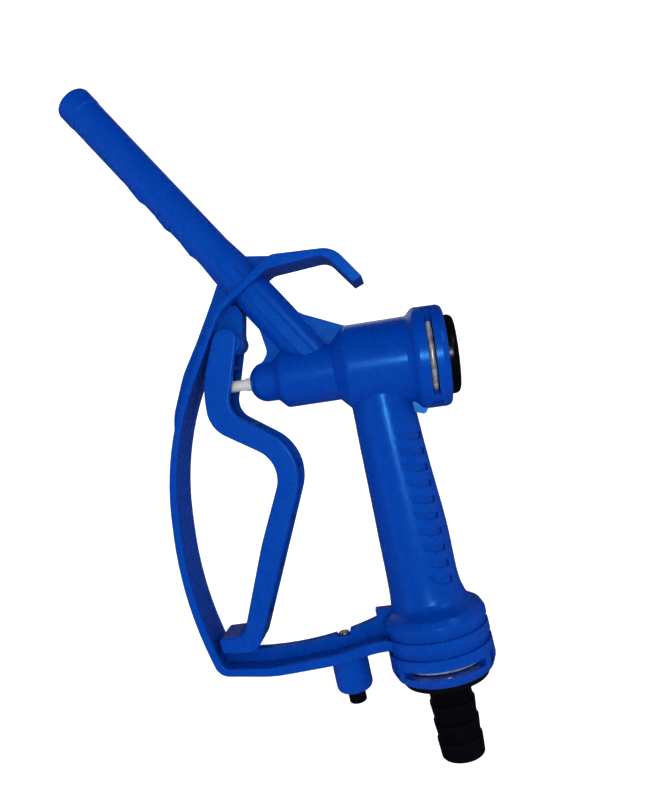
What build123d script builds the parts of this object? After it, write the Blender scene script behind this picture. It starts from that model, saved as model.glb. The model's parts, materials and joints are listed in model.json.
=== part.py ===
from build123d import *
from math import asin, cos, degrees, pi, radians, sin, sqrt
import os

# Hand-operated dispensing nozzle for the hose of a drum or barrel pump.
#
# Frame: +Z runs up the hose tail and the grip, +X points to the rear (the plug's side), the trigger,
# guard and spout are towards -X, and the nozzle is symmetric about Y = 0. The origin is the centre of
# the hose tail's free end. Millimetres.

# ---------------------------------------------------------------- driving dimensions

# hose tail for a 19 mm (3/4 inch) hose
BARB_CREST_R = 11.5
BARB_ROOT_R = 10.7
BARB_LAND = 1.2
BARB_PITCH = 9.3
BARB_COUNT = 3
BARB_FIRST_Z = 9.4
TAIL_NECK_R = 10.7
TAIL_BORE_R = 7.5
TAIL_FLANGE_R = 21.6
TAIL_FLANGE_Z = 40.0
TAIL_FLANGE_TOP_Z = 42.9

# quick-release sockets of the lower and rear collars, which share one clip and one seal size
SOCKET_R = 20.0
SPIGOT_R = 19.94
SEAL_WIRE_R = 1.5
SEAL_GROOVE_R = 16.9
SEAL_GROOVE_WIDTH = 3.6
CLIP_WIRE_R = 1.4
CLIP_RING_R = 20.5
CLIP_GROOVE_R = 18.7
CLIP_GROOVE_WIDTH = 3.5
CLIP_SLOT_WIDTH = 3.5
CLIP_SLOT_HALF_ANGLE = 49.0
CLIP_GAP_ANGLE = 50.0

# lower collar and grip
LOWER_COLLAR_R = 26.4
COLLAR_BOTTOM_Z = 43.2
LOWER_CLIP_Z = 50.2
SOCKET_TOP_Z = 67.0
COLLAR_GROOVE_Z = (58.9, 67.2)
COLLAR_GROOVE_WIDTH = 3.2
COLLAR_GROOVE_DEPTH = 1.3
GRIP_BORE_R = 9.0
# height, front edge and rear edge of the grip in side view, and its half width
GRIP_SECTIONS = (
    (78.0, -20.4, 19.4, 18.8),
    (86.0, -19.6, 16.8, 17.4),
    (104.0, -19.2, 16.4, 16.9),
    (124.0, -18.9, 16.0, 16.5),
    (148.0, -18.6, 14.5, 16.0),
    (170.0, -18.3, 13.6, 15.8),
    (192.0, -18.2, 13.8, 15.8),
)
PAD_COUNT = 10
PAD_PITCH = 7.96
PAD_TOP_Z = 167.0
PAD_TIP_X = -0.9
PAD_TIP_SHIFT = 0.22
PAD_DEPTH = 0.7

# valve housing, whose big barrel and whose nose tilt nose-up, the nose a little less than the barrel;
# places along both axes are measured from the grip's axis
VALVE_TILT = 4.8
VALVE_AXIS_Z = 200.95
BARREL_FRONT = -15.4
BARREL_R = 21.65
BARREL_REAR_R = 22.0
PANEL_SIZE = (25.1, 23.2)
PANEL_RISE = 0.15
REAR_COLLAR_R = 25.7
REAR_COLLAR_END = 34.3
PLUG_END = 39.1
STEM_TILT = 3.86
STEM_AXIS_Z = 200.5
NOSE_FRONT = -67.0
NOSE_R = 10.35
MID_BARREL_R = 14.85
REAR_CLIP_AT = 26.3
SEAT_AT = -14.0
SEAT_R = 9.0
FRONT_CHAMBER_R = 10.6
REAR_CHAMBER_R = 16.8
GLAND_R = 5.0
STEM_R = 2.9
STEM_TIP = -79.2

# spout
SPOUT_BASE = (-26.9, 202.9)
SPOUT_ANGLE = 58.92
SPOUT_LENGTH = 197.3
SPOUT_TIP_COLLAR = 187.3
SPOUT_R = 9.65
SPOUT_ROOT_R = 10.5
SPOUT_BORE_R = 6.8

# guard band, hook and webs
BAND_HALF_WIDTH = 12.5
BAND_EDGE_R = 0.8
WEB_HALF_THICKNESS = 2.75
GUSSET_HALF_THICKNESS = 4.0

# trigger lever
PIVOT_X = -70.6
PIVOT_Z = 227.0
LEVER_HALF_WIDTH = 11.5
LEVER_WALL = 2.5
LEVER_EDGE_R = 1.2
PIVOT_PIN_R = 2.5
TAB_HALF_THICKNESS = 5.0
TAB_R = 5.8
WEB_TOP_R = 157.8
FOOT_CLEAR_R = 157.1
STOP_X = -28.3

# hold-open latch
LATCH_X = -46.8
LATCH_BOSS_R = 9.35
LATCH_BOSS_BOTTOM_Z = 40.6
LATCH_BORE_R = 6.2
LATCH_BORE_TOP_Z = 58.0
LATCH_TRAVEL = 5.0
BUTTON_R = 4.5
BUTTON_BOTTOM_Z = 34.4
PIN_SHANK_R = 1.6
PIN_HEAD_R = 2.9
PIN_TOP_Z = 70.9

os.makedirs("parts", exist_ok=True)

# ---------------------------------------------------------------- frames

tilt = radians(VALVE_TILT)
VALVE = Plane(origin=(0, 0, VALVE_AXIS_Z), x_dir=(cos(tilt), 0, -sin(tilt)), z_dir=(0, -1, 0))

stem_tilt = radians(STEM_TILT)
stem_rearward = (cos(stem_tilt), 0, -sin(stem_tilt))
STEM = Plane(origin=(0, 0, STEM_AXIS_Z), x_dir=stem_rearward, z_dir=(0, -1, 0))

lean = radians(SPOUT_ANGLE)
along_spout = (-cos(lean), 0, sin(lean))
SPOUT = Plane(origin=(SPOUT_BASE[0], 0, SPOUT_BASE[1]), x_dir=along_spout, z_dir=(0, -1, 0))

HOSE = Plane(origin=(0, 0, 0), x_dir=(0, 0, 1), z_dir=(0, -1, 0))
LATCH = Plane(origin=(LATCH_X, 0, 0), x_dir=(0, 0, 1), z_dir=(0, -1, 0))


def stem_point(along, up):
    """Side-view (x, z) of a point given along and above the stem's axis."""
    return (
        along * cos(stem_tilt) + up * sin(stem_tilt),
        STEM_AXIS_Z - along * sin(stem_tilt) + up * cos(stem_tilt),
    )


def turned(plane, *outline, radii=0, mode=Mode.ADD):
    """Revolves an outline of (along, radius) points about the plane's x axis."""
    with BuildSketch(plane) as profile:
        with BuildLine():
            FilletPolyline(*outline, radius=radii, close=True)
        make_face()
    revolve(profile.sketch, axis=Axis(plane.origin, plane.x_dir), mode=mode)


def ring(plane, at, inner, outer, width, mode=Mode.ADD):
    """A plain ring, or a disc where inner is 0, centred at a place along the plane's x axis."""
    low, high = at - width / 2, at + width / 2
    turned(plane, (low, inner), (high, inner), (high, outer), (low, outer), mode=mode)


def seal(plane, at, centre_r, wire_r):
    """An O-ring about the plane's x axis."""
    with BuildSketch(plane) as profile:
        with Locations((at, centre_r)):
            Circle(wire_r)
    revolve(profile.sketch, axis=Axis(plane.origin, plane.x_dir))


def clip_ring(plane, at):
    """A round-wire ring about the plane's x axis, open by a gap on one side."""
    centre = plane.from_local_coords((at, 0, 0))
    across = Plane(origin=centre, x_dir=plane.y_dir, z_dir=plane.x_dir)
    start = CLIP_GAP_ANGLE / 2
    with BuildLine(across) as wire:
        CenterArc((0, 0), CLIP_RING_R, start, 360 - CLIP_GAP_ANGLE)
    path = wire.wire()
    with BuildSketch(Plane(origin=path @ 0, z_dir=path % 0)) as section:
        Circle(CLIP_WIRE_R)
    sweep(section.sketch, path=path)


def clip_openings(plane, at, outer_r):
    """Cuts a collar's clip groove, its slots on both sides and the small windows past their ends."""
    ring(plane, at, SOCKET_R - 1, CLIP_RING_R + CLIP_WIRE_R + 0.1, 2 * CLIP_WIRE_R + 0.1, Mode.SUBTRACT)
    centre = plane.from_local_coords((at, 0, 0))
    across = Plane(origin=centre, x_dir=plane.z_dir, z_dir=plane.x_dir)
    reach = outer_r + 1
    for side in (0, 180):
        for begin, sweep_angle, floor in (
            (side - CLIP_SLOT_HALF_ANGLE, 2 * CLIP_SLOT_HALF_ANGLE, SOCKET_R - 1),
            (side - 69, 10, outer_r - 1.6),
            (side + 59, 10, outer_r - 1.6),
        ):
            deep = floor < SOCKET_R
            width = CLIP_SLOT_WIDTH if deep else CLIP_SLOT_WIDTH + 2
            with BuildSketch(across.offset(-width / 2)) as sector:
                with BuildLine():
                    outer = CenterArc((0, 0), reach, begin, sweep_angle)
                    inner = CenterArc((0, 0), floor, begin, sweep_angle)
                    Line(outer @ 0, inner @ 0)
                    Line(outer @ 1, inner @ 1)
                make_face()
            extrude(sector.sketch, amount=width, mode=Mode.SUBTRACT)


def slab(points, half_thickness, radii=0, mode=Mode.ADD):
    """A flat piece in the plane of symmetry, given by its side-view outline."""
    with BuildSketch(Plane.XZ) as profile:
        with BuildLine():
            FilletPolyline(*points, radius=radii, close=True)
        make_face()
    extrude(profile.sketch, amount=half_thickness, both=True, mode=mode)


def sweep_point(x, radius):
    """The point below the lever's pivot at x on a circle about it."""
    return (x, PIVOT_Z - sqrt(radius**2 - (x - PIVOT_X) ** 2))


def grip_shell(extra):
    """Lofts the grip, made larger all round by extra."""
    sections = []
    for height, front, rear, half_width in GRIP_SECTIONS:
        with BuildSketch(Plane.XY.offset(height)) as section:
            with Locations(((front + rear) / 2, 0)):
                Ellipse((rear - front) / 2 + extra, half_width + extra)
        sections.append(section.sketch.face())
    loft(sections)


def spring(plane, low, high, coil_r, wire_r, turns):
    """A closed-end compression spring along the plane's x axis."""
    pitch = (high - low - 2 * wire_r) / turns
    origin = plane.from_local_coords((low + wire_r, 0, 0))
    with BuildLine() as wire:
        Helix(pitch=pitch, height=pitch * turns, radius=coil_r, center=origin, direction=plane.x_dir)
    path = wire.wire()
    with BuildSketch(Plane(origin=path @ 0, z_dir=path % 0)) as section:
        Circle(wire_r)
    sweep(section.sketch, path=path)


def finish(piece, name):
    """Labels a sub-part and writes it to its own file."""
    piece.part.label = name
    export_step(piece.part, f"parts/{name}.step")


# ---------------------------------------------------------------- nozzle body

# The guard band in side view: hook tip, top of the hook, past the spout, down the front, along the bottom.
BAND_OUTLINE = (
    ((1.5, 244.2), 0.6),
    ((-9.6, 261.9), 13),
    ((-41.7, 265.7), 10),
    ((-74.3, 245.5), 25),
    ((-116.4, 182.2), 150),
    ((-123.0, 104.7), 190),
    ((-112.1, 63.0), 8),
    ((-84.0, 58.1), 70),
    ((-55.0, 58.3), 60),
    ((-31.0, 60.8), 30),
    ((-20.5, 60.8), 0),
    ((-20.5, 66.4), 0),
    ((-33.0, 66.3), 30),
    ((-50.0, 63.6), 60),
    ((-85.0, 62.9), 60),
    ((-108.8, 66.6), 4),
    ((-118.8, 105.1), 186),
    ((-112.6, 180.6), 146),
    ((-72.2, 243.4), 22),
    ((-44.5, 258.7), 7),
    ((-14.8, 258.9), 8),
    ((-3.9, 242.5), 0.6),
)

with BuildPart() as band:
    slab([point for point, _ in BAND_OUTLINE], BAND_HALF_WIDTH, [radius for _, radius in BAND_OUTLINE])
    fillet(band.edges().group_by(Axis.Y)[0], BAND_EDGE_R)
    fillet(band.edges().group_by(Axis.Y)[-1], BAND_EDGE_R)

with BuildPart() as grip:
    grip_shell(0)

# Shallow crescent pockets on both sides of the grip's rear half.
with BuildPart() as grip_core:
    grip_shell(-PAD_DEPTH)
with BuildSketch(Plane.XZ) as finger_pads:
    for i in range(PAD_COUNT):
        top = PAD_TOP_Z - i * PAD_PITCH
        tip = PAD_TIP_X + i * PAD_TIP_SHIFT
        with BuildLine():
            FilletPolyline(
                (tip, top),
                (tip + 6.3, top - 2.8),
                (12.9, top - 3.6),
                (12.6, top - 6.8),
                (tip + 7.0, top - 6.4),
                (tip + 2.0, top - 4.0),
                radius=0.5,
                close=True,
            )
        make_face()
with BuildPart() as pad_pockets:
    extrude(finger_pads.sketch, amount=25, both=True)
    add(grip_core.part, mode=Mode.SUBTRACT)

# Thin raised panels on both sides of the big barrel.
with BuildPart() as panels:
    turned(
        VALVE,
        (BARREL_FRONT, BARREL_R - 2),
        (BARREL_FRONT, BARREL_R + PANEL_RISE),
        (16.0, BARREL_REAR_R + PANEL_RISE),
        (16.0, BARREL_R - 2),
    )
    with BuildSketch(VALVE) as panel_outline:
        with Locations((1.2, 0.4)):
            RectangleRounded(*PANEL_SIZE, 2.5)
    extrude(panel_outline.sketch, amount=25, both=True, mode=Mode.INTERSECT)

with BuildPart() as nozzle_body:
    add(band.part)
    add(grip.part)
    add(pad_pockets.part, mode=Mode.SUBTRACT)

    # valve housing: nose and middle barrel, then big barrel and rear collar
    turned(
        STEM,
        (NOSE_FRONT, 0),
        (NOSE_FRONT, NOSE_R),
        (-53.2, NOSE_R),
        (-48.9, MID_BARREL_R),
        (BARREL_FRONT, MID_BARREL_R),
        (BARREL_FRONT, 0),
        radii=(0, 9, 2.5, 3, 0, 0),
    )
    turned(
        VALVE,
        (BARREL_FRONT - 7.8, 0),
        (BARREL_FRONT - 7.8, MID_BARREL_R - 1.2),
        (BARREL_FRONT, BARREL_R),
        (16.0, BARREL_REAR_R),
        (19.2, REAR_COLLAR_R),
        (REAR_COLLAR_END, REAR_COLLAR_R - 0.1),
        (REAR_COLLAR_END, 0),
        radii=(0, 0, 2.5, 3.5, 2.5, 3.2, 0),
    )

    add(panels.part)

    # lower collar, flaring into the grip
    turned(
        HOSE,
        (COLLAR_BOTTOM_Z, 0),
        (COLLAR_BOTTOM_Z, 24.3),
        (48.0, LOWER_COLLAR_R + 0.1),
        (71.8, LOWER_COLLAR_R - 0.4),
        (75.2, 24.4),
        (78.6, 18.8),
        (88.0, 16.2),
        (88.0, 0),
        radii=(0, 1.5, 4.5, 1.2, 3, 6, 0, 0),
    )
    for groove_z in COLLAR_GROOVE_Z:
        inner = LOWER_COLLAR_R - COLLAR_GROOVE_DEPTH
        ring(HOSE, groove_z, inner, LOWER_COLLAR_R + 1, COLLAR_GROOVE_WIDTH, Mode.SUBTRACT)

    # spout, thicker below the guard band, with a slightly raised collar at its tip
    turned(
        SPOUT,
        (0, 0),
        (0, SPOUT_ROOT_R),
        (74.0, SPOUT_ROOT_R),
        (86.0, SPOUT_R),
        (SPOUT_TIP_COLLAR - 1.0, SPOUT_R),
        (SPOUT_TIP_COLLAR, SPOUT_R + 0.3),
        (SPOUT_LENGTH, SPOUT_R + 0.3),
        (SPOUT_LENGTH, 0),
        radii=(0, 0, 20, 20, 0.4, 0.4, 2.2, 0),
    )
    # flat rib down each side of the spout
    for begin, end in ((12.0, 52.0), (60.0, 74.5)):
        with BuildSketch(SPOUT):
            with Locations(((begin + end) / 2, 0.2)):
                SlotOverall(end - begin, 5.0)
        extrude(amount=SPOUT_ROOT_R + 0.55, both=True)
    # wedge ridges on the spout's lower side, which hold it in a filler neck
    for foot, crest, drop in ((141.0, 132.0, 130.2), (120.0, 111.5, 109.5), (100.0, 92.0, 89.8)):
        with BuildSketch(SPOUT):
            with BuildLine():
                Polyline((foot, 8.5), (foot, SPOUT_R - 0.1), (crest, SPOUT_R + 0.6), (drop, SPOUT_R - 0.1))
                Polyline((drop, SPOUT_R - 0.1), (drop, 8.5), (foot, 8.5))
            make_face()
        extrude(amount=3.5, both=True)

    # webs in the plane of symmetry: above the hook and before the guard
    slab(
        [
            (-34.0, 263.0),
            (-36.5, 265.6),
            (-55.8, 269.9),
            (-64.1, 264.3),
            (-72.5, 259.2),
            (-77.7, 250.6),
            (-88.9, 233.3),
            (-100.5, 216.8),
            (-109.8, 197.5),
            (-114.6, 171.0),
            (-112.6, 172.5),
            (-98.9, 206.0),
            (-74.5, 243.6),
            (-42.5, 262.6),
        ],
        WEB_HALF_THICKNESS,
        (0, 2, 1.5, 0, 1.5, 12, 40, 40, 30, 0, 0, 0, 0, 0),
    )
    # web between the spout and the big barrel
    with BuildSketch(Plane.XZ):
        with BuildLine():
            ThreePointArc((-36.9, 238.5), (-34.8, 236.1), (-31.8, 233.7))
            Line((-31.8, 233.7), (-12.0, 223.0))
            Polyline((-12.0, 223.0), (-10.0, 214.0), (-30.0, 212.0), (-40.0, 232.0), (-36.9, 238.5))
        make_face()
    extrude(amount=GUSSET_HALF_THICKNESS, both=True)
    # web between the spout and the nose
    slab(
        [
            (-60.5, 239.5),
            (-55.8, 232.0),
            (-54.2, 219.0),
            (-57.5, 214.6),
            (-62.0, 213.5),
            (-58.0, 207.0),
            (-42.0, 207.0),
            (-42.0, 222.0),
            (-52.0, 240.0),
        ],
        GUSSET_HALF_THICKNESS,
        (0, 12, 5, 4, 0, 0, 0, 0, 0),
    )

    # tab that carries the lever's pivot, hanging from the band
    slab(
        [
            (-79.0, 236.8),
            (-77.0, 230.0),
            (-73.5, 221.0),
            (-65.8, 221.5),
            (-64.6, 231.0),
            (-62.4, 240.5),
            (-64.5, 245.6),
            (-70.0, 246.4),
        ],
        TAB_HALF_THICKNESS,
        (0, 3, 4.5, 5, 8, 2, 2, 0),
    )

    # web of the guard's bottom bar: its top follows the lever's foot and ends in the lever's stop
    with BuildSketch(Plane.XZ):
        with BuildLine():
            low_end = sweep_point(-112.6, WEB_TOP_R)
            middle = sweep_point(-70.0, WEB_TOP_R)
            stop_foot = sweep_point(STOP_X, WEB_TOP_R)
            ThreePointArc(low_end, middle, stop_foot)
            Polyline(stop_foot, (STOP_X, 79.4), (-17.5, 78.6), (-17.5, 63.0), (-30.0, 62.5), (-50.0, 60.5))
            Polyline((-50.0, 60.5), (-85.0, 60.5), (-108.0, 63.5), low_end)
        make_face()
    extrude(amount=WEB_HALF_THICKNESS, both=True)

    # latch boss under the bar
    turned(
        LATCH,
        (LATCH_BOSS_BOTTOM_Z, 0),
        (LATCH_BOSS_BOTTOM_Z, LATCH_BOSS_R),
        (62.0, LATCH_BOSS_R),
        (62.0, 0),
        radii=(0, 3.6, 0, 0),
    )

    # small lug where the rear collar meets the grip
    slab([(8.0, 186.0), (8.0, 175.5), (17.6, 171.0), (21.0, 176.5), (21.0, 184.0)], 5.5, (0, 0, 2, 2, 0))

    # ---- hollows
    # chamber behind the seat, rear chamber and rear socket
    turned(
        STEM,
        (SEAT_AT, 0),
        (SEAT_AT, 12.9),
        (-10.6, REAR_CHAMBER_R - 0.9),
        (0, REAR_CHAMBER_R - 0.9),
        (0, 0),
        mode=Mode.SUBTRACT,
    )
    turned(
        VALVE,
        (-4.0, 0),
        (-4.0, REAR_CHAMBER_R),
        (17.4, REAR_CHAMBER_R),
        (18.6, SOCKET_R),
        (REAR_COLLAR_END - 0.8, SOCKET_R),
        (REAR_COLLAR_END + 1.2, SOCKET_R + 2.0),
        (REAR_COLLAR_END + 1.2, 0),
        mode=Mode.SUBTRACT,
    )
    # seat, front chamber, gland and nose
    ring(STEM, SEAT_AT, 0, SEAT_R, 8, Mode.SUBTRACT)
    turned(
        STEM,
        (-46.0, 0),
        (-46.0, 7.0),
        (-42.0, FRONT_CHAMBER_R),
        (-17.0, FRONT_CHAMBER_R),
        (-17.0, 0),
        mode=Mode.SUBTRACT,
    )
    ring(STEM, (NOSE_FRONT - 1 - 45) / 2, 0, GLAND_R, abs(NOSE_FRONT - 1) - 45, Mode.SUBTRACT)
    # flow passage of the spout
    turned(
        SPOUT,
        (0, 0),
        (0, SPOUT_BORE_R),
        (SPOUT_LENGTH + 1, SPOUT_BORE_R),
        (SPOUT_LENGTH + 1, 0),
        mode=Mode.SUBTRACT,
    )
    # flow passage of the grip and the hose tail's socket
    turned(
        HOSE,
        (COLLAR_BOTTOM_Z - 1.2, 0),
        (COLLAR_BOTTOM_Z - 1.2, SOCKET_R + 1.7),
        (COLLAR_BOTTOM_Z + 0.5, SOCKET_R),
        (SOCKET_TOP_Z, SOCKET_R),
        (SOCKET_TOP_Z + 3, GRIP_BORE_R + 4),
        (SOCKET_TOP_Z + 9, GRIP_BORE_R),
        (192.0, GRIP_BORE_R),
        (192.0, 0),
        mode=Mode.SUBTRACT,
    )
    clip_openings(VALVE, REAR_CLIP_AT, REAR_COLLAR_R)
    clip_openings(HOSE, LOWER_CLIP_Z, LOWER_COLLAR_R)
    # lever pivot
    with BuildSketch(Plane.XZ):
        with Locations((PIVOT_X, PIVOT_Z)):
            Circle(PIVOT_PIN_R + 0.06)
    extrude(amount=TAB_HALF_THICKNESS + 1, both=True, mode=Mode.SUBTRACT)
    # latch: spring bore, pin hole and the notch that the pin's head rests in
    ring(
        LATCH,
        (LATCH_BORE_TOP_Z + LATCH_BOSS_BOTTOM_Z - 1) / 2,
        0,
        LATCH_BORE_R,
        LATCH_BORE_TOP_Z - LATCH_BOSS_BOTTOM_Z + 1,
        Mode.SUBTRACT,
    )
    ring(LATCH, 64.0, 0, PIN_SHANK_R + 0.08, 14.0, Mode.SUBTRACT)
    notch = [
        (LATCH_X - PIN_HEAD_R - 0.8, 75.0),
        (LATCH_X - PIN_HEAD_R - 0.8, PIN_TOP_Z - 1.6),
        (LATCH_X + PIN_HEAD_R + 0.8, PIN_TOP_Z - 1.6),
        (LATCH_X + PIN_HEAD_R + 0.8, 75.0),
    ]
    slab(notch, WEB_HALF_THICKNESS + 1, (0, 0.6, 0.6, 0), mode=Mode.SUBTRACT)
finish(nozzle_body, "nozzle_body")

# ---------------------------------------------------------------- trigger lever

# The lever in side view, from its top down the front, round the foot and up the finger side.
LEVER_OUTLINE = (
    ((-77.6, 235.0), 7.5),
    ((-89.3, 208.5), 50),
    ((-90.6, 186.9), 17),
    ((-57.1, 162.4), 16),
    ((-76.9, 124.0), 150),
    ((-95.5, 80.9), 6),
    ((-108.8, 81.6), 1.5),
    ((-108.3, 73.7), 2),
    ((-89.8, 70.9), 9),
    ((-43.9, 165.3), 26),
    ((-79.0, 193.4), 10.4),
    ((-64.5, 234.8), 5.5),
)
PAD_R = 2.0
pad_x, pad_z = stem_point(STEM_TIP - 0.12 - PAD_R, 0.95)

with BuildPart() as trigger_lever:
    slab([point for point, _ in LEVER_OUTLINE], LEVER_HALF_WIDTH, [radius for _, radius in LEVER_OUTLINE])
    fillet(trigger_lever.edges().group_by(Axis.Y)[0], LEVER_EDGE_R)
    fillet(trigger_lever.edges().group_by(Axis.Y)[-1], LEVER_EDGE_R)
    # hollow, open towards the grip
    with BuildSketch(Plane.XZ, mode=Mode.PRIVATE) as hollow:
        with BuildLine():
            FilletPolyline(
                *[point for point, _ in LEVER_OUTLINE],
                radius=[radius for _, radius in LEVER_OUTLINE],
                close=True,
            )
        make_face()
        offset(amount=-LEVER_WALL)
    with BuildSketch(Plane.XZ) as open_side:
        add(hollow.sketch)
        with Locations((3, 0), (6, 0)):
            add(hollow.sketch)
        with Locations((-98.0, 76.0)):
            Rectangle(60, 22, mode=Mode.SUBTRACT)
    extrude(amount=LEVER_HALF_WIDTH - LEVER_WALL, both=True, mode=Mode.SUBTRACT)
    # hollow of the foot, open downwards, behind the heel rib that the latch pin catches
    slab(
        [(-105.8, 79.0), (-105.2, 70.0), (-94.2, 70.0), (-94.2, 79.0)],
        LEVER_HALF_WIDTH - LEVER_WALL,
        (1, 0, 0, 1),
        mode=Mode.SUBTRACT,
    )
    # cross ribs of the channel
    for rib_x, rib_z, length, angle in (
        (-77.0, 215.4, 16.0, -8.0),
        (-71.0, 181.0, 14.0, 55.0),
        (-57.5, 158.0, 13.0, -8.0),
        (-66.5, 134.0, 13.0, -25.0),
        (-77.5, 110.0, 13.0, -25.0),
    ):
        with BuildSketch(Plane.XZ):
            with Locations(Location((rib_x, rib_z), angle)):
                Rectangle(length, 1.8)
        extrude(amount=LEVER_HALF_WIDTH - LEVER_WALL / 2, both=True)
    # ribs never stand proud of the channel
    slab(
        [point for point, _ in LEVER_OUTLINE],
        LEVER_HALF_WIDTH,
        [radius for _, radius in LEVER_OUTLINE],
        mode=Mode.INTERSECT,
    )
    # pad that pushes the valve stem
    with BuildSketch(Plane.XZ):
        with Locations((pad_x, pad_z)):
            Circle(PAD_R)
            with Locations((-3.25, 0.1)):
                Rectangle(6.5, 2 * PAD_R)
    extrude(amount=LEVER_HALF_WIDTH - LEVER_WALL / 2, both=True)
    # the foot's cross walls stay clear of the guard's web, which runs between its side plates
    with BuildSketch(Plane.XZ):
        with Locations((PIVOT_X, PIVOT_Z)):
            Circle(FOOT_CLEAR_R + 10)
            Circle(FOOT_CLEAR_R, mode=Mode.SUBTRACT)
    extrude(amount=WEB_HALF_THICKNESS + 0.75, both=True, mode=Mode.SUBTRACT)
    # clevis: room for the pivot tab, with a boss for the pin in each ear
    clevis = [(-100, 219.2), (-60, 219.2), (-60, 240), (-100, 240)]
    slab(clevis, LEVER_HALF_WIDTH - LEVER_WALL, mode=Mode.SUBTRACT)
    for side in (-1, 1):
        with BuildSketch(Plane.XZ.offset(-side * (TAB_HALF_THICKNESS + 0.35))):
            with Locations((PIVOT_X, PIVOT_Z)):
                Circle(5.0)
        extrude(amount=-side * (LEVER_HALF_WIDTH - TAB_HALF_THICKNESS - 1.6))
    with BuildSketch(Plane.XZ.offset(LEVER_HALF_WIDTH - 1.4)):
        with Locations((PIVOT_X, PIVOT_Z)):
            Circle(PIVOT_PIN_R + 0.02)
    extrude(amount=-40, mode=Mode.SUBTRACT)
finish(trigger_lever, "trigger_lever")

with BuildPart() as trigger_pivot_pin:
    with BuildSketch(Plane.XZ.offset(LEVER_HALF_WIDTH - 1.6)):
        with Locations((PIVOT_X, PIVOT_Z)):
            Circle(PIVOT_PIN_R)
    extrude(amount=-(2 * LEVER_HALF_WIDTH - 1.8))
    chamfer(trigger_pivot_pin.edges().filter_by(GeomType.CIRCLE), 0.4)
finish(trigger_pivot_pin, "trigger_pivot_pin")

# ---------------------------------------------------------------- valve

with BuildPart() as valve_stem:
    turned(
        STEM,
        (STEM_TIP, 0),
        (STEM_TIP, STEM_R),
        (SEAT_AT, STEM_R),
        (SEAT_AT, 2.2),
        (SEAT_AT + 10.6, 2.2),
        (SEAT_AT + 10.6, 0),
        radii=(0, 0.7, 0, 0, 0.5, 0),
    )
finish(valve_stem, "valve_stem")

GLAND_BUSH_REAR = -60.6
with BuildPart() as gland_bush:
    turned(
        STEM,
        (NOSE_FRONT - 2.4, STEM_R + 0.07),
        (NOSE_FRONT - 2.4, STEM_R + 0.5),
        (NOSE_FRONT + 0.7, STEM_R + 0.5),
        (NOSE_FRONT + 0.7, GLAND_R - 0.02),
        (GLAND_BUSH_REAR, GLAND_R - 0.02),
        (GLAND_BUSH_REAR, STEM_R + 0.07),
    )
finish(gland_bush, "gland_bush")

GLAND_SEAL_WIRE_R = 1.0
for name, place in (("gland_o_ring_front", -59.4), ("gland_o_ring_rear", -57.1)):
    with BuildPart() as gland_o_ring:
        seal(STEM, place, STEM_R + GLAND_SEAL_WIRE_R + 0.03, GLAND_SEAL_WIRE_R)
    finish(gland_o_ring, name)

POPPET_FRONT = SEAT_AT + 2.2
with BuildPart() as valve_poppet:
    turned(
        STEM,
        (POPPET_FRONT, 2.25),
        (POPPET_FRONT, 11.6),
        (POPPET_FRONT + 2.6, 11.6),
        (POPPET_FRONT + 2.6, 6.2),
        (POPPET_FRONT + 5.6, 5.6),
        (POPPET_FRONT + 5.6, 2.25),
        radii=(0, 0.4, 0.4, 0.4, 0.4, 0),
    )
finish(valve_poppet, "valve_poppet")

with BuildPart() as poppet_seal:
    ring(STEM, (SEAT_AT + POPPET_FRONT) / 2 + 0.05, 2.25, 11.2, POPPET_FRONT - SEAT_AT - 0.1)
    fillet(poppet_seal.edges().sort_by(SortBy.LENGTH)[-2:], 0.4)
finish(poppet_seal, "poppet_seal")

with BuildPart() as poppet_nut:
    with BuildSketch(Plane(origin=STEM.from_local_coords((POPPET_FRONT + 5.65, 0, 0)), z_dir=stem_rearward)):
        RegularPolygon(radius=4.3, side_count=6)
        Circle(2.25, mode=Mode.SUBTRACT)
    extrude(amount=2.4)
finish(poppet_nut, "poppet_nut")

VALVE_SPRING_R = 8.2
PLUG_INNER = 19.4
PLUG_POCKET_DEPTH = 3.0
with BuildPart() as valve_spring:
    spring(STEM, POPPET_FRONT + 2.65, PLUG_INNER + PLUG_POCKET_DEPTH - 0.25, VALVE_SPRING_R, 0.75, 5)
finish(valve_spring, "valve_spring")

# ---------------------------------------------------------------- rear plug

with BuildPart() as rear_plug:
    turned(
        VALVE,
        (PLUG_INNER, 0),
        (PLUG_INNER, SPIGOT_R),
        (PLUG_END, SPIGOT_R),
        (PLUG_END, 0),
        radii=(0, 0.8, 3, 0),
    )
    ring(VALVE, 21.9, SEAL_GROOVE_R, SPIGOT_R + 1, SEAL_GROOVE_WIDTH - 0.4, Mode.SUBTRACT)
    ring(VALVE, REAR_CLIP_AT, CLIP_GROOVE_R, SPIGOT_R + 1, CLIP_GROOVE_WIDTH, Mode.SUBTRACT)
    # pocket that seats the spring, and a shallow dish in the outer face
    ring(VALVE, PLUG_INNER, 6.5, 10.5, 2 * PLUG_POCKET_DEPTH, Mode.SUBTRACT)
    ring(VALVE, PLUG_END, 0, 14.5, 1.6, Mode.SUBTRACT)
finish(rear_plug, "rear_plug")

with BuildPart() as plug_o_ring:
    seal(VALVE, 21.9, SEAL_GROOVE_R + SEAL_WIRE_R + 0.04, SEAL_WIRE_R)
finish(plug_o_ring, "plug_o_ring")

with BuildPart() as rear_clip:
    clip_ring(VALVE, REAR_CLIP_AT)
finish(rear_clip, "rear_clip")

# ---------------------------------------------------------------- swivelling hose tail

TAIL_TOP_Z = SOCKET_TOP_Z - 0.4
TAIL_SEALS_Z = (56.6, 62.0)
barbs = []
for i in range(BARB_COUNT):
    crest = BARB_FIRST_Z + i * BARB_PITCH
    barbs += [(crest - BARB_LAND, BARB_CREST_R), (crest, BARB_CREST_R), (crest + 0.5, BARB_ROOT_R)]

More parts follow.
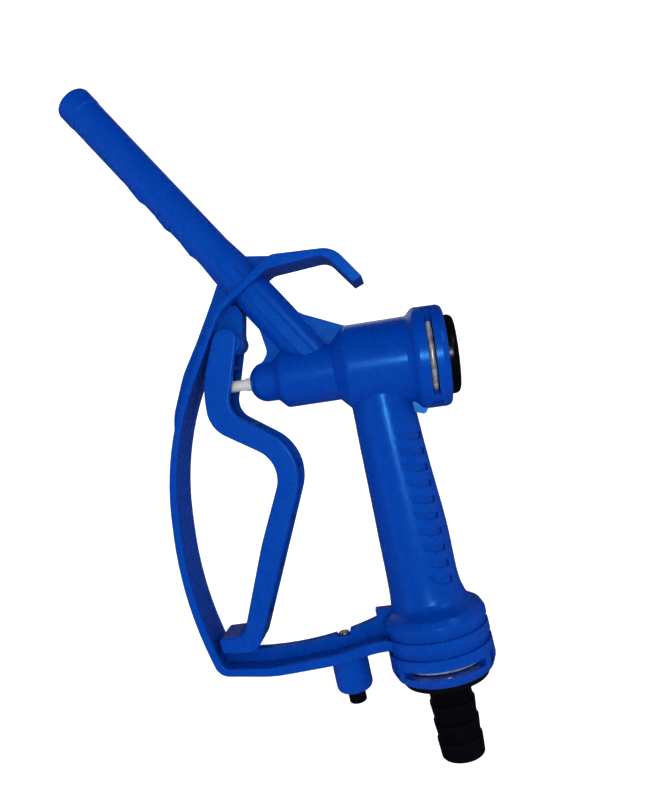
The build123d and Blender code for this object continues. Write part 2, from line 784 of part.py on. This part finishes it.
with BuildPart() as hose_tail:
    turned(
        HOSE,
        (0, TAIL_BORE_R),
        (0, BARB_ROOT_R - 0.1),
        (0.5, BARB_ROOT_R + 0.3),
        *barbs,
        (TAIL_FLANGE_Z - 3.0, TAIL_NECK_R),
        (TAIL_FLANGE_Z, 13.0),
        (TAIL_FLANGE_Z, TAIL_FLANGE_R),
        (TAIL_FLANGE_TOP_Z, TAIL_FLANGE_R),
        (TAIL_FLANGE_TOP_Z, SPIGOT_R - 0.3),
        (TAIL_FLANGE_TOP_Z + 1.6, SPIGOT_R),
        (TAIL_TOP_Z - 1.2, SPIGOT_R),
        (TAIL_TOP_Z, SPIGOT_R - 1.0),
        (TAIL_TOP_Z, GRIP_BORE_R + 2),
        (TAIL_TOP_Z - 6, TAIL_BORE_R),
    )
    for seal_z in TAIL_SEALS_Z:
        ring(HOSE, seal_z, SEAL_GROOVE_R, SPIGOT_R + 1, SEAL_GROOVE_WIDTH, Mode.SUBTRACT)
    ring(HOSE, LOWER_CLIP_Z, CLIP_GROOVE_R, SPIGOT_R + 1, CLIP_GROOVE_WIDTH, Mode.SUBTRACT)
finish(hose_tail, "hose_tail")

for name, seal_z in zip(("tail_o_ring_lower", "tail_o_ring_upper"), TAIL_SEALS_Z):
    with BuildPart() as tail_o_ring:
        seal(HOSE, seal_z, SEAL_GROOVE_R + SEAL_WIRE_R + 0.02, SEAL_WIRE_R)
    finish(tail_o_ring, name)

with BuildPart() as tail_clip:
    clip_ring(HOSE, LOWER_CLIP_Z)
finish(tail_clip, "tail_clip")

# ---------------------------------------------------------------- hold-open latch

BUSH_BOTTOM_Z = LATCH_BOSS_BOTTOM_Z + 0.6
BUSH_TOP_Z = BUSH_BOTTOM_Z + 3.2
SHOULDER_TOP_Z = BUSH_TOP_Z + 2.6

with BuildPart() as latch_button:
    turned(
        LATCH,
        (BUTTON_BOTTOM_Z, 0),
        (BUTTON_BOTTOM_Z, BUTTON_R),
        (BUSH_TOP_Z + 0.1, BUTTON_R),
        (BUSH_TOP_Z + 0.1, LATCH_BORE_R - 0.4),
        (SHOULDER_TOP_Z, LATCH_BORE_R - 0.4),
        (SHOULDER_TOP_Z, 0),
        radii=(0, 1.0, 0, 0, 0.3, 0),
    )
    ring(LATCH, 44.0, 0, PIN_SHANK_R + 0.02, 8.0, Mode.SUBTRACT)
finish(latch_button, "latch_button")

with BuildPart() as latch_bush:
    bush_middle = (BUSH_BOTTOM_Z + BUSH_TOP_Z) / 2
    ring(LATCH, bush_middle, BUTTON_R + 0.08, LATCH_BORE_R - 0.02, BUSH_TOP_Z - BUSH_BOTTOM_Z)
finish(latch_bush, "latch_bush")

with BuildPart() as latch_pin:
    turned(
        LATCH,
        (40.3, 0),
        (40.3, PIN_SHANK_R),
        (PIN_TOP_Z - 1.4, PIN_SHANK_R),
        (PIN_TOP_Z - 1.4, PIN_HEAD_R),
        (PIN_TOP_Z, PIN_HEAD_R),
        (PIN_TOP_Z, 0),
        radii=(0, 0.3, 0, 0.3, 0.9, 0),
    )
finish(latch_pin, "latch_pin")

with BuildPart() as latch_spring:
    spring(LATCH, SHOULDER_TOP_Z + 0.05, LATCH_BORE_TOP_Z - 0.05, 4.6, 0.4, 5)
finish(latch_spring, "latch_spring")
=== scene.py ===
import json
import math

import bmesh
import bpy
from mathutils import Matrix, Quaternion, Vector


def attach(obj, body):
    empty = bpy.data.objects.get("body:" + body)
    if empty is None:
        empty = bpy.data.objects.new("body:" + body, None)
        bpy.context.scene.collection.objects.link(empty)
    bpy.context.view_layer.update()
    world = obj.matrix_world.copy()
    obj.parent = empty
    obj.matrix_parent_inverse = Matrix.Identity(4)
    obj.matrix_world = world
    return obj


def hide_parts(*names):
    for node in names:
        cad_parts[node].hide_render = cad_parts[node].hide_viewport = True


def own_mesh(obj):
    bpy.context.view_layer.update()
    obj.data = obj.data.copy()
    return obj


# Lengths are in metres and powers in watts, in the CAD's frame: +Z runs up the grip and +X to the rear.

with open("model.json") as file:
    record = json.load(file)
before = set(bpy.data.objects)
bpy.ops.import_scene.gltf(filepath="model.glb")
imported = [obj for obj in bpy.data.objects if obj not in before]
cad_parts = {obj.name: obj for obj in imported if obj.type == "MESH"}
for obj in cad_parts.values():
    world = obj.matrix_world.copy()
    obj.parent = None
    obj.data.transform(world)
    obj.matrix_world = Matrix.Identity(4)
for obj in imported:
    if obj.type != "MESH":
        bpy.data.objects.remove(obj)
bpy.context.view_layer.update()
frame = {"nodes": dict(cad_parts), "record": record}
NODES = frame["nodes"]
NODE_SLOTS = {row["node"]: row["material_slot"] for row in frame["record"]["subparts"]}

# ---------------------------------------------------------------- material tools


class Mat:
    """A principled material whose textures lie in object space."""

    def __init__(self, name, metallic=0.0, ior=1.47):
        self.material = bpy.data.materials.new(name)
        self.material.use_nodes = True
        self.tree = self.material.node_tree
        self.shader = self.tree.nodes["Principled BSDF"]
        self.set("Metallic", metallic)
        self.set("IOR", ior)
        self.coords = self.tree.nodes.new("ShaderNodeTexCoord").outputs["Object"]
        self.bumped_normal = None

    def set(self, socket, value):
        self.shader.inputs[socket].default_value = value

    def link(self, out, into):
        self.tree.links.new(out, into)

    def noise(self, scale, detail=3.0, roughness=0.5, stretch=(1, 1, 1), distortion=0.0):
        """Cloudy noise; a stretch below 1 draws it out along that axis, and one above 1 squeezes it."""
        mapping = self.tree.nodes.new("ShaderNodeMapping")
        mapping.inputs["Scale"].default_value = stretch
        self.link(self.coords, mapping.inputs["Vector"])
        node = self.tree.nodes.new("ShaderNodeTexNoise")
        node.inputs["Scale"].default_value = scale
        node.inputs["Detail"].default_value = detail
        node.inputs["Roughness"].default_value = roughness
        node.inputs["Distortion"].default_value = distortion
        self.link(mapping.outputs["Vector"], node.inputs["Vector"])
        return node.outputs["Fac"]

    def spread(self, value, low, high, start=0.3, end=0.7):
        """Maps start..end of a value to low..high, and holds it beyond both ends."""
        node = self.tree.nodes.new("ShaderNodeMapRange")
        node.inputs["From Min"].default_value = start
        node.inputs["From Max"].default_value = end
        node.inputs["To Min"].default_value = low
        node.inputs["To Max"].default_value = high
        self.link(value, node.inputs["Value"])
        return node.outputs["Result"]

    def combine(self, operation, a, b):
        """A math node, whose a and b are sockets or plain numbers."""
        node = self.tree.nodes.new("ShaderNodeMath")
        node.operation = operation
        for i, value in enumerate((a, b)):
            if isinstance(value, (int, float)):
                node.inputs[i].default_value = value
            else:
                self.link(value, node.inputs[i])
        return node.outputs["Value"]

    def add(self, a, b):
        return self.combine("ADD", a, b)

    def times(self, a, b):
        return self.combine("MULTIPLY", a, b)

    def mix(self, factor, a, b):
        """The colour a at factor 0 and b at factor 1, each a socket or a plain colour."""
        node = self.tree.nodes.new("ShaderNodeMix")
        node.data_type = "RGBA"
        self.link(factor, node.inputs["Factor"])
        for socket, value in (("A", a), ("B", b)):
            target = [s for s in node.inputs if s.name == socket and s.type == "RGBA"][0]
            if isinstance(value, tuple):
                target.default_value = (*value, 1)
            else:
                self.link(value, target)
        return [s for s in node.outputs if s.type == "RGBA"][0]

    def colour(self, out):
        self.link(out, self.shader.inputs["Base Color"])

    def roughness(self, out):
        self.link(out, self.shader.inputs["Roughness"])

    def bump(self, height, distance, strength):
        """Bumps the surface by a height up to distance, on top of the bump before it."""
        node = self.tree.nodes.new("ShaderNodeBump")
        node.inputs["Strength"].default_value = strength
        node.inputs["Distance"].default_value = distance
        self.link(height, node.inputs["Height"])
        if self.bumped_normal is not None:
            self.link(self.bumped_normal, node.inputs["Normal"])
        self.bumped_normal = node.outputs["Normal"]
        self.link(self.bumped_normal, self.shader.inputs["Normal"])

    def edges(self, start, end):
        """0 on flat and hollow places, 1 on sharp convex edges."""
        geometry = self.tree.nodes.new("ShaderNodeNewGeometry")
        return self.spread(geometry.outputs["Pointiness"], 0.0, 1.0, start, end)


# ---------------------------------------------------------------- materials


def moulded_plastic(name, tones, shine, grain, rough, specular):
    """Moulded plastic: faint flow marks, fine spark-eroded grain, handling scuffs, and paler edges that
    are partly light wear and partly a painted highlight.

    tones are its base, dark and pale colours, shine tints its gloss, and grain is its bumps' depth.
    """
    base, dark, pale = tones
    m = Mat(name, ior=1.49)
    m.set("Specular IOR Level", specular)
    m.set("Specular Tint", (*shine, 1))
    cloud = m.noise(38.0, detail=4.0, roughness=0.55, distortion=0.4)
    flow = m.noise(90.0, roughness=0.6, stretch=(1.0, 1.0, 0.16), distortion=0.8)
    clouded_flow = m.add(m.times(cloud, 0.6), m.times(flow, 0.4))
    tone = m.mix(m.spread(clouded_flow, 0, 1, start=0.36, end=0.64), dark, base)
    specks = m.spread(m.noise(1500.0, detail=1.0), 0.0, 0.1, start=0.6, end=0.8)
    scuff_noise = m.noise(420.0, detail=6.0, roughness=0.75, stretch=(1.0, 1.0, 0.3))
    scuffs = m.spread(scuff_noise, 0.0, 0.15, start=0.62, end=0.8)
    # Convex edges turn paler in patches: partly light wear, partly a painted edge highlight.
    edge_highlight_and_wear = m.spread(m.noise(160.0, detail=4.0, roughness=0.6), 0.05, 0.3)
    highlit_and_worn_edges = m.times(m.edges(start=0.52, end=0.6), edge_highlight_and_wear)
    paleness = m.combine("MINIMUM", m.add(m.add(specks, scuffs), highlit_and_worn_edges), 1.0)
    m.colour(m.mix(paleness, tone, pale))
    gloss = m.noise(210.0, detail=5.0, roughness=0.62)
    m.roughness(m.add(m.spread(gloss, rough - 0.05, rough + 0.06), m.times(scuffs, 0.25)))
    m.bump(m.noise(2600.0, detail=2.0), distance=grain, strength=0.55)
    m.bump(flow, distance=2 * grain, strength=0.5)
    return m.material


def wire_metal(name, colour, rough, stretch=(1, 1, 1), metallic=1.0, dulling=0.35):
    """Drawn metal with fine lines, and tarnish whose strength is dulling."""
    m = Mat(name, metallic=metallic)
    lines = m.noise(1800.0, roughness=0.6, stretch=stretch)
    tarnish = m.spread(m.noise(120.0, detail=4.0, roughness=0.6), 0.0, dulling, start=0.45, end=0.6)
    tarnished = tuple(0.3 * c for c in colour)
    m.colour(m.mix(tarnish, colour, tarnished))
    m.roughness(m.add(m.spread(lines, rough - 0.04, rough + 0.08), m.times(tarnish, 0.25)))
    m.bump(lines, distance=0.00002, strength=0.5)
    return m.material


def acetal(name, colour, grime_colour):
    """Milky acetal with faint turning lines and grime."""
    m = Mat(name, ior=1.48)
    m.set("Subsurface Weight", 0.15)
    m.set("Subsurface Radius", (0.004, 0.004, 0.0035))
    m.set("Subsurface Scale", 0.3)
    grime = m.spread(m.noise(300.0, detail=5.0, roughness=0.7), 0.0, 0.5, start=0.55, end=0.8)
    m.colour(m.mix(grime, colour, grime_colour))
    m.roughness(m.spread(m.noise(500.0), 0.28, 0.42))
    m.bump(m.noise(1600.0, detail=2.0, stretch=(3, 1, 1)), distance=0.00003, strength=0.5)
    return m.material


def rubber(name, colour, dust_colour):
    """Matt seal rubber with a little dust."""
    m = Mat(name, ior=1.5)
    dust = m.spread(m.noise(600.0, detail=5.0, roughness=0.7), 0.0, 0.3, start=0.55, end=0.8)
    m.colour(m.mix(dust, colour, dust_colour))
    m.roughness(m.spread(m.noise(400.0), 0.5, 0.65))
    m.bump(m.noise(2400.0, detail=2.0), distance=0.00004, strength=0.5)
    return m.material


BLUES = ((0.0001, 0.032, 0.275), (0.0001, 0.028, 0.25), (0.0003, 0.047, 0.32))
BLUE_SHINE = (0.08, 0.45, 1.0)
BLACKS = ((0.0015, 0.0015, 0.003), (0.001, 0.001, 0.002), (0.008, 0.008, 0.011))
BLACK_SHINE = (0.7, 0.8, 1.0)
BLUE_GRAIN = 0.00002
BLACK_GRAIN = 0.000006

BODY = moulded_plastic("body_plastic", BLUES, BLUE_SHINE, BLUE_GRAIN, rough=0.26, specular=0.6)
LEVER = moulded_plastic("lever_plastic", BLUES, BLUE_SHINE, BLUE_GRAIN, rough=0.28, specular=0.6)
DARK = moulded_plastic("black_plastic", BLACKS, BLACK_SHINE, BLACK_GRAIN, rough=0.22, specular=0.25)
WHITE = acetal("white_acetal", (0.52, 0.53, 0.54), (0.36, 0.36, 0.36))
RUBBER = rubber("seal_rubber", (0.012, 0.012, 0.013), (0.08, 0.08, 0.085))
STEEL = wire_metal("steel", (0.62, 0.61, 0.59), rough=0.26, stretch=(1, 1, 0.1))
CLIP = wire_metal("clip_wire", (0.95, 0.95, 0.95), rough=0.14, metallic=0.62, dulling=1.0)

SLOT_MATERIALS = {
    "body_plastic": BODY,
    "lever_plastic": LEVER,
    "black_plastic": DARK,
    "white_acetal": WHITE,
    "seal_rubber": RUBBER,
    "steel": STEEL,
    "clip_wire": CLIP,
}
for name, node in NODES.items():
    node.data.materials.clear()
    node.data.materials.append(SLOT_MATERIALS[NODE_SLOTS[name]])

# ---------------------------------------------------------------- springs


def shortening_spring(name):
    """A copy of a spring's CAD solid, put in place of the hidden original and moving with the nozzle's
    body.
    """
    node = NODES[name]
    coil = bpy.data.objects.new(name + "_coil", node.data.copy())
    bpy.context.scene.collection.objects.link(coil)
    coil.matrix_world = node.matrix_world.copy()
    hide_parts(name)
    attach(coil, "nozzle")
    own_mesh(coil)


shortening_spring("latch_spring")
shortening_spring("valve_spring")

# ---------------------------------------------------------------- stage

FLOOR_Z = -0.06
FLOOR_MIDDLE_R = 0.4
STAGE_R = 1.6
STAGE_RIM_R = 1.0
STAGE_TOP_Z = 3.0
STAGE_SIDES = 96
STAGE_RIM_STEPS = 12
FLOOR_GREYS = ((0.86, 0.86, 0.86), (0.89, 0.89, 0.89))
FLOOR_GLOW = 0.55


def stage_profile():
    """Radius and height of the stage from its middle out: a flat floor, a quarter-round rim and a wall."""
    profile = [(FLOOR_MIDDLE_R, FLOOR_Z), (STAGE_R, FLOOR_Z)]
    for i in range(1, STAGE_RIM_STEPS + 1):
        angle = math.radians(90 * i / STAGE_RIM_STEPS)
        reach = STAGE_R + STAGE_RIM_R * math.sin(angle)
        profile.append((reach, FLOOR_Z + STAGE_RIM_R * (1 - math.cos(angle))))
    profile.append((STAGE_R + STAGE_RIM_R, STAGE_TOP_Z))
    return profile


def ring_of_verts(bm, radius, z):
    turns = [2 * math.pi * k / STAGE_SIDES for k in range(STAGE_SIDES)]
    return [bm.verts.new((radius * math.cos(turn), radius * math.sin(turn), z)) for turn in turns]


def floor_paint():
    """Pale paint that glows a little, because the small lights alone leave the floor grey."""
    m = Mat("floor_paint")
    m.colour(m.mix(m.noise(6.0), *FLOOR_GREYS))
    m.set("Roughness", 0.9)
    m.set("Specular IOR Level", 0.1)
    m.set("Emission Color", (1, 1, 1, 1))
    m.set("Emission Strength", FLOOR_GLOW)
    return m.material


def backdrop():
    """A pale round floor whose rim sweeps up into a wall all round, unseen in the nozzle's gloss."""
    mesh = bpy.data.meshes.new("floor")
    bm = bmesh.new()
    rings = [ring_of_verts(bm, radius, z) for radius, z in stage_profile()]
    bm.faces.new(rings[0])
    for low, high in zip(rings, rings[1:]):
        for k in range(STAGE_SIDES):
            after = (k + 1) % STAGE_SIDES
            bm.faces.new((low[k], low[after], high[after], high[k]))
    bmesh.ops.recalc_face_normals(bm, faces=bm.faces)
    bm.to_mesh(mesh)
    bm.free()
    mesh.shade_smooth()
    mesh.materials.append(floor_paint())
    floor = bpy.data.objects.new("floor", mesh)
    bpy.context.scene.collection.objects.link(floor)
    floor.visible_glossy = False


backdrop()

# ---------------------------------------------------------------- lights

WORLD_STRENGTH = 0.02
LIGHT_TARGET = Vector((-0.04, 0.0, 0.19))
WHITE_LIGHT = (1, 1, 1)
BLUE_LIGHT = (0.25, 0.5, 1.0)


def studio_world():
    """A faint even white light from all round."""
    world = bpy.data.worlds.new("studio")
    bpy.context.scene.world = world
    world.use_nodes = True
    background = world.node_tree.nodes["Background"]
    background.inputs["Color"].default_value = (1, 1, 1, 1)
    background.inputs["Strength"].default_value = WORLD_STRENGTH


def softbox(name, place, width, height, power, colour=WHITE_LIGHT):
    """A soft area light turned to the middle of the nozzle."""
    light = bpy.data.lights.new(name, "AREA")
    light.shape = "RECTANGLE"
    light.size = width
    light.size_y = height
    light.energy = power
    light.color = colour
    lamp = bpy.data.objects.new(name, light)
    lamp.location = place
    lamp.rotation_euler = (LIGHT_TARGET - Vector(place)).to_track_quat("-Z", "Y").to_euler()
    bpy.context.scene.collection.objects.link(lamp)


studio_world()
softbox("key_light", (0.10, -1.05, 0.23), width=0.12, height=0.12, power=3.2)
softbox("fill_light", (0.75, -0.75, 0.8), width=0.3, height=0.3, power=1.2)
softbox("back_light", (-0.3, 1.0, 0.9), width=0.8, height=0.6, power=1.0)
softbox("side_strip", (-0.85, -0.55, 0.1), width=0.06, height=0.5, power=0.35, colour=BLUE_LIGHT)

# ---------------------------------------------------------------- camera

CAMERA_PLACE = Vector((0.00857, -0.35667, 0.18538))
CAMERA_FORWARD = Vector((-0.11052409, 0.99382677, 0.00963206))
CAMERA_ROLL = math.radians(12.302)
SENSOR_WIDTH_MM = 36.0
LENS_MM = 31.5
CAMERA_CLIP_START = 0.01


def photo_camera():
    """A camera at the photograph's viewing angle, turned about its line of sight by its roll."""
    data = bpy.data.cameras.new("camera")
    data.sensor_width = SENSOR_WIDTH_MM
    data.lens = LENS_MM
    data.clip_start = CAMERA_CLIP_START
    camera = bpy.data.objects.new("camera", data)
    bpy.context.scene.collection.objects.link(camera)
    camera.location = CAMERA_PLACE
    camera.rotation_mode = "QUATERNION"
    level = CAMERA_FORWARD.to_track_quat("-Z", "Y")
    camera.rotation_quaternion = Quaternion(CAMERA_FORWARD, CAMERA_ROLL) @ level
    return camera


bpy.context.scene.camera = photo_camera()
bpy.context.scene.view_settings.view_transform = "Standard"
